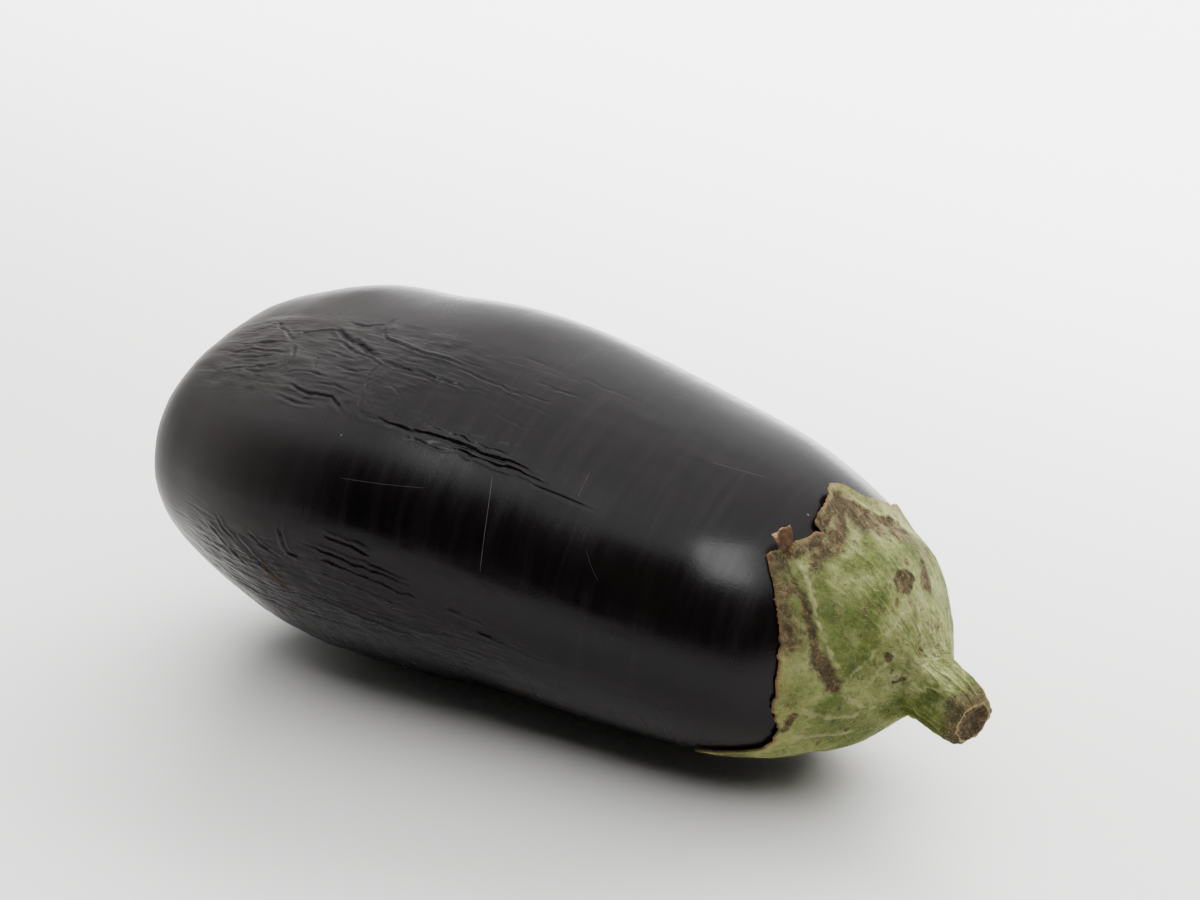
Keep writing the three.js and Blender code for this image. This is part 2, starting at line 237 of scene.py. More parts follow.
# Nodes of a material or of a node group, by short calls.
class Shader:
    # a new material with an empty tree, or the tree that is given
    def __init__(self, name, tree=None):
        self.tree = tree
        if tree is None:
            self.material = bpy.data.materials.new(name)
            self.material.use_nodes = True
            self.tree = self.material.node_tree
            self.tree.nodes.clear()
            self.output = self.tree.nodes.new("ShaderNodeOutputMaterial")

    # one node, with its settings and its inputs by name or as i0, i1 and so on
    def add(self, kind, settings=None, **inputs):
        made = self.tree.nodes.new("ShaderNode" + kind)
        for key, value in (settings or {}).items():
            setattr(made, key, value)
        for key, value in inputs.items():
            self.feed(made, key, value)
        return made

    # a socket or node is linked, and a plain value is set on the input itself
    def feed(self, node, key, value):
        if key[0] == "i" and key[1:].isdigit():
            target = node.inputs[int(key[1:])]
        else:
            target = node.inputs[key.replace("_", " ")]
        if isinstance(value, bpy.types.NodeSocket):
            self.tree.links.new(value, target)
        elif hasattr(value, "outputs"):
            self.tree.links.new(value.outputs[0], target)
        elif isinstance(value, (tuple, list)) and len(value) == 3 and target.type == "RGBA":
            target.default_value = (*value, 1)
        else:
            target.default_value = value

    # a (operation) b
    def math(self, operation, a, b=0.0, clamp=False):
        return self.add("Math", {"operation": operation, "use_clamp": clamp}, i0=a, i1=b).outputs[0]

    # a times b
    def times(self, a, b, clamp=False):
        return self.math("MULTIPLY", a, b, clamp)

    # colour a (1 - share) + b share, or another blend
    def mix(self, share, a, b, blend="MIX"):
        made = self.add("Mix", {"data_type": "RGBA", "blend_type": blend})
        self.feed(made, "i0", share)
        self.feed(made, "i6", a)
        self.feed(made, "i7", b)
        return made.outputs[2]

    # a colour ramp through (position, colour or grey) stops
    def ramp(self, value, *stops):
        made = self.add("ValToRGB", Fac=value)
        band = made.color_ramp
        while len(band.elements) < len(stops):
            band.elements.new(0.5)
        for element, (position, colour) in zip(band.elements, stops):
            element.position = position
            element.color = (*colour, 1) if isinstance(colour, tuple) else (colour,) * 3 + (1,)
        return made.outputs[0]

    # a ramp through colours that are evenly spaced from low to high
    def shades(self, value, low, high, colours):
        return self.ramp(value, *zip(np.linspace(low, high, len(colours)).tolist(), colours))

    # fractal noise, from 0 to 1
    def noise(self, vector, scale, detail=3.0, roughness=0.5, distortion=0.0):
        return self.add("TexNoise", Vector=vector, Scale=scale, Detail=detail,
                        Roughness=roughness, Distortion=distortion).outputs[0]

    # object coordinates times a scale for each axis
    def stretched(self, scale):
        return self.add("Mapping", Vector=self.add("TexCoord").outputs["Object"], Scale=scale)

    # a value kept on the mesh's points
    def mask(self, name):
        return self.add("Attribute", {"attribute_name": name}).outputs["Fac"]

    # 1 where a mask, its edge broken by a noise of 0 to 1, is over one half, and 0 where it is under
    def torn(self, mask, noise, ragged=0.5, soft=0.08):
        moved = self.math("ADD", mask, self.times(self.math("SUBTRACT", noise, 0.5), ragged))
        return self.ramp(moved, (0.5 - soft, 0.0), (0.5 + soft, 1.0))

    # a height turned into a normal
    def bump(self, height, distance, strength=1.0, normal=None):
        made = self.add("Bump", Height=height, Distance=distance, Strength=strength)
        if normal is not None:
            self.feed(made, "Normal", normal)
        return made.outputs[0]

    # the surface shader, linked to the output
    def finish(self, **inputs):
        surface = self.add("BsdfPrincipled", **inputs)
        self.tree.links.new(surface.outputs[0], self.output.inputs[0])
        return self.material


# The fruit. Windows are angles or x, and skin lengths are in millimetres.
fruitLook = {
    "rows": 270, "columns": 350,
    "angleWindows": ((94, 138), (166, 204)), "angleGain": 9,    # denser where the creases are
    "rowWindows": ((24, 108),), "rowGain": 6,
    "degreeLength": 0.76,                           # length of skin to a degree round
    "bend": 0.3,                                    # how far the creases waver
    "creaseWidth": 0.7, "creaseDepth": 0.62, "creaseLip": 0.85,
    "sunk": 0.26, "puff": 0.25, "unevenness": 0.1, "farSide": 320,
    "restSoftness": 0.6,                            # height under which the skin flattens
    "shrunkAbove": ((-72, -50, -20, 14), (66, 76, 98, 106)),    # limits along and round
    "shrunkBelow": ((-66, -40, 10, 50), (126, 140, 300, 301)),
    "smoothFrom": (56, 70),                         # the skin is smooth under the calyx
    "mattAlong": (-80, -64, -56, -4), "mattRound": (50, 95, 200, 250), "mattLess": (166, 186, 0.75),
    "ior": 1.24, "mattRoughness": 0.46, "corkRoughness": 0.7,
    "blotches": ((0.0018, 0.0014, 0.0016), (0.0042, 0.0028, 0.003)),
    "cork": ((0.012, 0.006, 0.004), (0.07, 0.035, 0.018)),
    # the next colour is painted shade, put into the grooves of the creases
    "streaks": (0.0075, 0.0056, 0.006), "grooveShade": (0.0016, 0.0012, 0.0014),
    "worn": (0.2, 0.19, 0.18), "matt": (0.028, 0.024, 0.024),
}

# Creases, as x and angle on the skin, then depth, width and lip in millimetres.
creases = [
    ([(-55, 97), (-48.5, 104.5), (-43, 110)], 0.5, 0.5, 0.12),
    ([(-43.5, 110), (-42.5, 105.5), (-39, 103.5), (-35, 102.7), (-31.5, 105.5)], 0.6, 0.55, 0.2),
    ([(-36.5, 100.5), (-31.5, 104.8), (-26.5, 107.6), (-23.5, 109.6), (-19, 112.4)], 1.0, 0.75, 0.2),
    ([(-20, 112), (-15, 114), (-9, 113.6), (-2, 114.4), (4, 114.2)], 0.4, 0.5, 0.14),
    ([(-42, 112), (-39.5, 117), (-38.8, 121), (-40, 124.5)], 0.5, 0.5, 0.2),
    ([(-18.5, 113.5), (-18, 120.5), (-17, 126.5), (-16, 132)], 0.4, 0.45, 0.22),
    ([(-16.5, 132), (-13.5, 133.6), (-9.5, 133.4), (-2.5, 134.4), (4, 133.8), (10, 133.3),
      (14, 134.2), (20, 133.6), (28, 134)], 0.5, 0.55, 0.2),
    ([(2, 135.6), (9, 135), (16, 136), (24, 135.4), (31, 136.2)], 0.35, 0.5, 0.12),
    ([(-2, 131.5), (6, 131.2), (12, 131.9), (22, 131.4)], 0.25, 0.4, 0.1),
    ([(-12.7, 120.8), (-10.5, 123), (-8, 124.8)], 0.3, 0.35, 0.1),
    ([(-33.2, 115.4), (-32.5, 119), (-31.5, 122)], 0.3, 0.4, 0.14),
    ([(-39.2, 125.4), (-35, 123.5), (-31, 123), (-27, 124)], 0.3, 0.4, 0.16),
    ([(-37, 129.5), (-34, 129), (-29, 130.5), (-23.4, 130.2), (-17.7, 135)], 0.5, 0.5, 0.2),
    ([(-59.6, 119), (-52.8, 116), (-46, 116.8), (-40.6, 116.4)], 0.4, 0.5, 0.2),
    ([(-58, 113.5), (-52, 112), (-44, 111.2)], 0.35, 0.45, 0.16),
    ([(-56, 127.5), (-50, 125.2), (-45, 124.2), (-40, 121)], 0.35, 0.5, 0.2),
    ([(-56, 122), (-49, 120), (-43, 118.5)], 0.3, 0.45, 0.15),
    ([(-35, 96.6), (-29.7, 97.6), (-26, 95.8), (-25.2, 90)], 0.45, 0.5, 0.15),
    ([(-25.5, 96.4), (-24, 100), (-21.2, 104.8)], 0.35, 0.4, 0.12),
    ([(-40, 95.7), (-39, 91), (-38.8, 86.8)], 0.25, 0.4, 0.12),
    ([(-24, 102), (-19, 103.8), (-12.6, 105.4), (-7, 105.2), (-2, 106.2)], 0.45, 0.5, 0.18),
    ([(-4, 107), (0, 108.2), (8, 109.2), (15, 110.5)], 0.28, 0.4, 0.1),
    ([(-30, 109), (-26, 111.5), (-21, 113), (-17, 116)], 0.4, 0.45, 0.14),
    ([(-36, 107.5), (-31, 108), (-27, 110.8)], 0.35, 0.45, 0.14),
    ([(-33, 112), (-29, 113.6), (-24, 115)], 0.3, 0.45, 0.14),
    ([(-28, 118), (-24, 119.5), (-19, 118.5)], 0.22, 0.4, 0.1),
    ([(-29, 126.5), (-24, 126), (-18, 127.5)], 0.25, 0.4, 0.12),
    ([(-37, 133), (-30, 134.5), (-24, 134.2)], 0.25, 0.45, 0.1),
    ([(-23.6, 168.5), (-24, 171), (-23.4, 174.5), (-22, 177.2), (-18.5, 177.6)], 0.55, 0.5, 0.25),
    ([(-19, 177.6), (-12, 176.4), (-6.7, 177.4), (-1, 178.6), (3, 180), (11.3, 180.3)],
     0.4, 0.45, 0.16),
    ([(-20, 173), (-14, 173.4), (-7, 174.6), (1, 175.6), (9, 178)], 0.35, 0.45, 0.14),
    ([(-14, 168.6), (-8, 169.6), (-2, 171)], 0.35, 0.5, 0.12),
    ([(-17, 180.5), (-9, 181.6), (-1, 183.4), (6, 184.6)], 0.45, 0.45, 0.16),
    ([(-37, 176.5), (-34, 180), (-30.4, 183.8), (-25, 189.4)], 0.45, 0.6, 0.25),
    ([(-43, 172), (-40, 176), (-35.4, 179.7), (-30.2, 185.6)], 0.3, 0.5, 0.18),
    ([(-33, 174), (-29, 177.6), (-24, 180)], 0.28, 0.45, 0.15),
    ([(-46, 176), (-41, 181), (-34, 188)], 0.3, 0.5, 0.18),
    ([(-14, 190.5), (-6, 191.4), (2.6, 192.8), (11, 192), (19.5, 190.4)], 0.45, 0.5, 0.16),
    ([(-21, 190), (-15, 191.5), (-9.5, 193.6), (6, 197.5)], 0.5, 0.5, 0.16),
    ([(14, 184.5), (22, 186), (31, 188), (38, 189.5)], 0.4, 0.45, 0.12),
    ([(12, 180.5), (20, 181.5), (27, 183.6)], 0.3, 0.4, 0.1),
]

# Fields of small near-parallel wrinkles: x range, angle range, count, length, depth, wander.
wrinkleFields = [
    (-60, -22, 98, 134, 40, (6, 16), (0.03, 0.09), 1.2),
    (-58, -36, 110, 130, 16, (6, 14), (0.05, 0.12), 1.2),
    (-24, 22, 100, 122, 24, (8, 18), (0.03, 0.1), 0.8),
    (-12, 34, 128, 138, 16, (8, 18), (0.05, 0.14), 0.6),
    (-48, 30, 174, 204, 100, (10, 30), (0.02, 0.08), 1.0),
    (-58, -20, 182, 214, 60, (8, 22), (0.03, 0.1), 1.2),
    (-66, -40, 150, 230, 24, (6, 16), (0.02, 0.06), 1.2),
    (-60, 30, 64, 98, 22, (8, 20), (0.02, 0.06), 1.2),
    (-60, 40, 206, 330, 70, (8, 24), (0.03, 0.12), 1.6),
    (-66, -20, -40, 60, 50, (6, 18), (0.03, 0.12), 1.8),
    (-30, 80, 40, 80, 30, (10, 30), (0.02, 0.05), 0.6),
]

# Scratches: from and to as x and angle, then bend, half width and strength.
scratches = [
    ((18, 138.5), (22.2, 167), -0.9, 0.10, 0.5),
    ((-13, 152.4), (6, 148.6), 0.4, 0.09, 0.28),
    ((37, 127), (37.5, 136), 0.0, 0.09, 0.3),
    ((44, 150), (49, 158), 0.3, 0.07, 0.25),
    ((-2, 98), (22, 95), 0.5, 0.07, 0.2),
    ((58, 104), (70, 98), 0.2, 0.07, 0.3),
]
specks = {"cell": 9.0, "share": 0.3, "radius": 0.035, "strength": 0.4}
scar = {"path": [(-29.5, 185), (-27.2, 188), (-25.5, 190.8)], "width": 1.1, "tip": 0.55}


# equal shares of a weight that is 1 outside the windows and 1 plus the gain inside them
def packedSteps(low, high, windows, gain, count):
    t = np.linspace(low, high, 4000)
    inside = sum(window(t, (a - 4, a, b, b + 4)) for a, b in windows)
    total = np.cumsum(1 + gain * inside)
    return np.interp(np.linspace(total[0], total[-1], count), total, t)


# distance from each point to a broken line, and the share of the line's length at the foot
def lineDistance(points, path):
    best = np.full(points.shape[:-1], 1e9)
    foot = np.zeros(best.shape)
    steps = np.linalg.norm(np.diff(path, axis=0), axis=1)
    done = 0
    for a, b, length in zip(path[:-1], path[1:], steps):
        t = np.clip((points - a) @ (b - a) / length**2, 0, 1)
        d = np.linalg.norm(points - a - t[..., None] * (b - a), axis=-1)
        foot = np.where(d < best, (done + t * length) / steps.sum(), foot)
        best = np.minimum(d, best)
        done += length
    return best, foot


# a crease: a sharp groove -depth exp(-(d / width)^1.4) with a soft lip beside it, fading out
# at its ends
def addCrease(height, groove, uv, path, depth, width, lip):
    path = np.array(path, float) * (1, fruitLook["degreeLength"])
    low = path.min(0) - 5 * width
    high = path.max(0) + 5 * width
    near = np.nonzero(((uv > low) & (uv < high)).all(-1))
    if not len(near[0]):
        return
    d, foot = lineDistance(uv[near], path)
    fade = np.clip(5 * foot, 0, 1) * np.clip(5 * (1 - foot), 0, 1)
    cut = np.exp(-(d / width) ** 1.4) * fade
    height[near] += lip * np.exp(-((d - 2 * width) / (1.3 * width)) ** 2) * fade - depth * cut
    groove[near] = np.maximum(groove[near], cut * min(1, depth * 1.6))


# height in millimetres at skin lengths uv: all creases and wrinkles, soft puffs between them
# where the skin has shrunk, and broad unevenness; also the grooves' and the folds' masks
def fruitRelief(uv):
    rng = np.random.default_rng(11)
    u = uv[..., 0]
    v = uv[..., 1]
    bent = uv + fruitLook["bend"] * np.stack([latticeNoise(u * 0.5, v * 0.5, seed) for seed in (5, 6)], -1)
    height = np.zeros(u.shape)
    groove = np.zeros(u.shape)
    for path, depth, width, lip in creases:
        addCrease(height, groove, bent, path, depth * fruitLook["creaseDepth"],
                  width * fruitLook["creaseWidth"], lip * fruitLook["creaseLip"])
    for x0, x1, a0, a1, count, lengths, depths, wander in wrinkleFields:
        for _ in range(count):
            middle = rng.uniform((x0, a0), (x1, a1))
            length = rng.uniform(*lengths)
            along = np.linspace(-0.5, 0.5, 5) * length
            bend = rng.normal(0, wander * 0.35, 5).cumsum()
            path = np.stack([middle[0] + along, middle[1] + rng.normal(0, 0.1) * along + bend], 1)
            depth = rng.uniform(*depths)
            addCrease(height, groove, bent, path, depth, 0.28 + 0.5 * depth, depth * 0.3)
    above, below = [window(u, fruitLook[key][0]) * window(v, fruitLook[key][1])
                    for key in ("shrunkAbove", "shrunkBelow")]
    folded = np.maximum(above, 0.8 * below) * smoothStep(-78, -62, u)
    height += fruitLook["puff"] * latticeNoise(u * 0.16, v * 0.3, 8, 3) * folded
    height += fruitLook["unevenness"] * latticeNoise(u * 0.05, v * 0.12, 9, 3)
    height = np.minimum(height - fruitLook["sunk"], 0)
    return height * (1 - 0.9 * smoothStep(*fruitLook["smoothFrom"], u)), groove, folded


# the skin on a grid that is dense at the creases, moved by the relief, and flattened softly
# where it rests: z becomes r exp((z - r) / r) under the height r
def makeFruit():
    xs = packedSteps(0.0, 185.0, fruitLook["rowWindows"], fruitLook["rowGain"], fruitLook["rows"])
    turn = packedSteps(0.0, 360.0, fruitLook["angleWindows"], fruitLook["angleGain"],
                       fruitLook["columns"] + 1)[:-1]
    nose = np.linspace(0, stationAt(2.0), 8)[1:-1]
    tail = np.linspace(stationAt(184.0), fruitLast, 8)[1:-1]
    station = np.concatenate([nose, stationAt(xs[(xs > 2) & (xs < 184)]), tail])[:, None]
    angle = np.broadcast_to(turn[None, :], (len(station), len(turn)))
    along = np.interp(station, stationTable, xTable) - form["rest"][0]
    uv = np.stack([np.broadcast_to(along, angle.shape), angle * fruitLook["degreeLength"]], -1)
    height, groove, folded = fruitRelief(uv)
    fade = smoothStep(0, 0.8, station)
    points = skin(station, angle) + skinNormal(station, angle) * (height * fade)[..., None]
    rest = fruitLook["restSoftness"]
    low = points[..., 2]
    points[..., 2] = np.where(low < rest, rest * np.exp((np.minimum(low, rest) - rest) / rest), low)
    d, _ = lineDistance(uv, np.array(scar["path"]) * (1, fruitLook["degreeLength"]))
    aroundSkin = turnBetween(angle, fruitLook["farSide"] - 180) * fruitLook["degreeLength"]
    lessFrom, lessTo, less = fruitLook["mattLess"]
    matt = window(along, fruitLook["mattAlong"]) * window(angle, fruitLook["mattRound"])
    nearTip = np.exp(-((along + form["rest"][0]) / scar["tip"]) ** 3)
    masks = {"groove": groove, "folded": folded, "along": uv[..., 0], "around": aroundSkin,
             "cork": np.maximum(np.exp(-(d / scar["width"]) ** 3), nearTip),
             "matt": matt * (1 - less * smoothStep(lessFrom, lessTo, angle))}
    return meshOfRings("fruit_skin", points, skin(0, 0.0), skin(fruitLast, 0.0), masks)


# a scratch: 1 - distance / width from a line that bows by bend 4 t (1 - t), where t is the share
# of the way from its start to its end, times 12 t (1 - t) up to 1, which fades both ends
def scratchMask(s, along, around, start, end, bend, width, strength):
    scale = fruitLook["degreeLength"]
    middle = fruitLook["farSide"] - 180
    a = np.array((start[0], (start[1] - middle) * scale))
    way = np.array((end[0], (end[1] - middle) * scale)) - a
    length = float(np.linalg.norm(way))
    unit = way / length
    x = s.math("SUBTRACT", along, float(a[0]))
    y = s.math("SUBTRACT", around, float(a[1]))
    run = s.math("ADD", s.times(x, float(unit[0])), s.times(y, float(unit[1])))
    off = s.math("SUBTRACT", s.times(y, float(unit[0])), s.times(x, float(unit[1])))
    t = s.math("DIVIDE", run, length)
    rest = s.math("SUBTRACT", 1.0, t)
    both = s.times(t, rest)
    off = s.math("SUBTRACT", off, s.times(both, 4 * bend))
    line = s.math("SUBTRACT", 1.0, s.math("DIVIDE", s.math("ABSOLUTE", off), width), True)
    inside = s.times(both, 12.0, True)
    return s.times(s.times(line, inside), strength)


# near-black skin: brown and violet blotches, painted shade darkening the grooves, thin scratches,
# dust-like specks, corky scars and a greyer matt patch, under a fine orange-peel grain and faint
# streaks that run round the fruit
def skinMaterial():
    s = Shader("eggplant_skin")
    along = s.mask("along")
    around = s.mask("around")
    place = s.add("CombineXYZ", X=along, Y=around)
    grain = s.noise(s.stretched((1, 1, 1)), 2200, 2, 0.5)
    broad = s.noise(s.stretched((18, 40, 40)), 1.0, 4, 0.55)
    streak = s.noise(s.stretched((420, 45, 45)), 1.0, 5, 0.6)
    thread = s.noise(s.add("Mapping", Vector=place, Scale=(0.05, 1.1, 1)), 1.0, 4, 0.6, 0.3)
    colour = s.shades(broad, 0.3, 0.7, fruitLook["blotches"])
    colour = s.mix(s.ramp(streak, (0.45, 0.0), (0.75, 0.5)), colour, fruitLook["streaks"])
    # painted shade: the grooves of the creases are darkened where shade would fall in them
    colour = s.mix(s.times(s.mask("groove"), 0.6, True), colour, fruitLook["grooveShade"])
    worn = 0.0
    for start, end, bend, width, strength in scratches:
        worn = s.math("ADD", worn, scratchMask(s, along, around, start, end, bend, width, strength))
    worn = s.times(worn, s.math("ADD", s.noise(place, 0.9, 3, 0.6), 0.3))
    cells = s.add("TexVoronoi", Vector=place, Scale=1 / specks["cell"])
    dot = s.math("LESS_THAN", cells.outputs["Distance"], specks["radius"])
    chosen = s.math("LESS_THAN", s.add("SeparateColor", Color=cells.outputs["Color"]).outputs[0],
                    specks["share"])
    dot = s.times(s.times(dot, chosen), specks["strength"])
    worn = s.math("ADD", worn, dot, True)
    colour = s.mix(worn, colour, fruitLook["worn"])
    cork = s.noise(s.stretched((1, 1, 1)), 900, 3, 0.7)
    bark = s.shades(cork, 0.35, 0.7, fruitLook["cork"])
    corkShare = s.torn(s.mask("cork"), cork, 0.9, 0.12)
    colour = s.mix(s.times(corkShare, 0.85), colour, bark)
    matt = s.times(s.mask("matt"), s.ramp(broad, (0.2, 0.6), (0.7, 1.0)))
    colour = s.mix(matt, colour, fruitLook["matt"])
    rough = s.ramp(streak, (0.3, 0.2), (0.75, 0.3))
    rough = s.mix(s.mask("matt"), rough, (fruitLook["mattRoughness"],) * 3)
    rough = s.mix(corkShare, rough, (fruitLook["corkRoughness"],) * 3)
    folds = s.times(thread, s.mask("folded"))
    normal = s.bump(grain, 0.00004, 0.5)
    normal = s.bump(folds, 0.0006, 0.35, normal)
    normal = s.bump(streak, 0.0004, 0.05, normal)
    return s.finish(Base_Color=colour, Roughness=rough, Normal=normal, IOR=fruitLook["ior"])


fruit = makeFruit()
fruit.data.materials.append(skinMaterial())
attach(fruit, "root")
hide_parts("fruit")
print("fruit", len(fruit.data.polygons))


# The calyx and the stem, one grown surface in two pieces.
calyxLook = {
    "columns": 640, "outerRows": 96, "innerRows": 26,
    "rim": [
        (0, 157), (6, 152), (12, 156), (24, 162), (36, 166.2), (48, 168), (60, 167.6),
        (71.5, 166.6), (76.5, 165.2), (80, 163), (85, 162.2), (93, 163.8), (98.5, 164.6),
        (102.5, 165), (105.8, 165.6), (107, 167.4), (108.5, 166.4), (112.5, 166), (116, 165.2),
        (119.5, 164.6), (123, 164), (127.5, 161.8), (129.5, 161.6), (133, 163.2), (139, 165.4),
        (145, 167), (154, 168.6), (161.5, 169.4), (170, 169.8), (180, 170), (185.5, 169.4),
        (198.5, 170), (207, 168.2), (212, 165.8), (215.5, 161.4), (218, 155.8), (220, 149.8),
        (223.5, 154.5), (231, 161), (242, 167), (256, 170), (275, 165), (287, 158),
        (293, 152.5), (298, 156), (310, 164.5), (330, 170), (347, 165)],
    "raised": [                     # how far the rim stands off the fruit, by angle
        (6, 0.5), (42, 0.2), (60, 0.2), (72, 0.6), (79, 1.2), (92, 1.7), (100, 1.5), (104, 0.5),
        (115, 0.35), (123, 0.5), (128, 0.6), (136, 0.25), (155, 0.12), (171, 0.12), (184, 0.35),
        (200, 0.5), (209, 0.3), (222, 0.1), (240, 0.2), (293, 0.4), (330, 0.2)],
    "rimThickness": 0.6, "crownThickness": 1.4, "rimBulge": 0.2, "gap": 0.25, "teeth": 0.22,
    "sepals": (6, 78, 150, 222, 294), "ribHeight": 0.5, "ribSpread": 6.0,
    "veinHeight": 0.16, "knotHeight": 0.12, "lumpHeight": 0.34, "puckerHeight": 0.18,
}
stemLook = {
    "direction": (0.95, -0.28, -0.13),
    "sections": [(0, 7.6), (2, 7.4), (4.5, 7.2), (8, 6.9), (11, 6.6), (13, 6.1), (13.8, 5.3),
                 (14.1, 4.4), (13.8, 2.6)],
    "length": 14.1, "droop": 0.8,
    "ridges": 6, "ridgeHeight": 0.05, "fineRidges": 11, "fineHeight": 0.025,
    "barkHeight": 0.2, "knobHeight": 0.25, "veinHeight": 0.3, "sunk": 0.15,
    "fibreHeight": 0.3, "hollow": 0.5, "columns": 300, "rows": 150,
}
stemDirection = unit(np.array(stemLook["direction"]))


# turns vectors about the axis from +X to the stem's direction, by a share of that angle
def towardsStem(vectors, share):
    axis = np.cross((1, 0, 0), stemDirection)
    full = math.asin(np.linalg.norm(axis))
    axis = unit(axis)
    a = np.asarray(share * full)[..., None]
    across = np.cross(np.broadcast_to(axis, vectors.shape), vectors)
    onAxis = (vectors @ axis)[..., None] * axis
    return vectors * np.cos(a) + across * np.sin(a) + onAxis * (1 - np.cos(a))


# the stem's outline: 1 plus broad and fine waves round it
def ridged(angle):
    broad = stemLook["ridgeHeight"] * np.cos(np.radians(stemLook["ridges"] * angle))
    fine = stemLook["fineHeight"] * np.cos(np.radians(stemLook["fineRidges"] * angle + 40))
    return 1 + broad + fine


# offsets of a radius r at an angle, (0, r cos a, r sin a), turned towards the stem by a share
def spokes(r, angle, share):
    a = np.radians(angle)
    return towardsStem(np.stack([np.zeros(r.shape), r * np.cos(a), r * np.sin(a)], -1), share)


# the outer cap: sections that turn from facing +X to facing along the stem
def cap(station, angle):
    station, angle = np.broadcast_arrays(np.asarray(station, float), np.asarray(angle, float))
    at = alongRows(capRows, station)
    share = smoothStep(shoulder, capLast, station)
    shape = outline(at[..., 0], angle) * (1 - share) + ridged(angle) * share
    r = at[..., 1] * shape + swelling(at[..., 0], angle) * (1 - share)
    return placed(at[..., 0], at[..., 2], at[..., 3]) + spokes(r, angle, share)


# where x lies on the cap's own sections, read off a table, and where the cap meets the stem
capStations = np.linspace(0, capLast, 2400)
capTable = alongRows(capRows, capStations)[:, 0]
neckMiddle = placed(*capRows[-1, [0, 2, 3]])


# the crests of a noise: (1 - |noise|)^sharpness
def crests(noise, sharpness):
    return (1 - np.abs(noise).clip(0, 1)) ** sharpness


# a value between (angle, value) pairs, straight from one to the next and round past 360
def overAngles(pairs, angle):
    table = np.array(pairs, float)
    return np.interp(angle, table[:, 0], table[:, 1], period=360)


# the rim's x: straight between its points, with small torn teeth
def rimAt(angle):
    ragged = latticeNoise(angle * 0.45, np.zeros(angle.shape), 21, 4)
    return overAngles(calyxLook["rim"], angle) + calyxLook["teeth"] * ragged


# the outer surface at a station: the skin raised by rise, turning into the cap past the shoulder
def calyxSurface(station, angle, rise, ribs):
    low = skin(station, angle) + skinNormal(station, angle) * (rise + ribs)[..., None]
    crown = cap(station, angle)
    middle = alongRows(capRows, station)
    outwards = unit(crown - placed(middle[..., 0], middle[..., 2], middle[..., 3]))
    blend = smoothStep(shoulder, shoulder + 1, station)[..., None]
    return low * (1 - blend) + (crown + outwards * ribs[..., None]) * blend


# the station at a share of the way from the rim to the last one, its distance from the rim along
# x, and how far the calyx stands off there: the gap, and the rim's rise, which ends at 3 mm
def fromRim(angle, share, last):
    rim = rimAt(angle)
    start = stationAt(rim)
    station = start + (last - start) * share
    distance = np.interp(station, stationTable, xTable) - rim
    rise = overAngles(calyxLook["raised"], angle) * (1 - smoothStep(0, 3, distance))
    return station, distance, calyxLook["gap"] + rise


# the stretch from the rim, share 0, to the neck, share 1: its thickness grows inwards, and its
# rim stands off the fruit
def calyxOutside(angle, share):
    station, distance, stand = fromRim(angle, share, capLast)
    thin = calyxLook["rimThickness"]
    thick = thin + (calyxLook["crownThickness"] - thin) * smoothStep(0, 0.4, share)
    total = sum(np.exp(-(turnBetween(angle, middle) / calyxLook["ribSpread"]) ** 2 / 2)
                for middle in calyxLook["sepals"])
    ribs = calyxLook["ribHeight"] * total * window(share, (0, 0.3, 0.75, 1))
    return calyxSurface(station, angle, stand + thick, ribs), distance


# the underside: the skin raised by the gap, and by more at the rim
def calyxInside(angle, share):
    station, _, stand = fromRim(angle, share, fruitLast - 0.05)
    return skin(station, angle) + skinNormal(station, angle) * stand[..., None]


# moves rings along their own normals by a height in millimetres
def liftedRings(rings, height):
    along = np.gradient(rings, axis=0)
    around = np.roll(rings, -1, 1) - np.roll(rings, 1, 1)
    return rings + unit(np.cross(around, along)) * height[..., None]


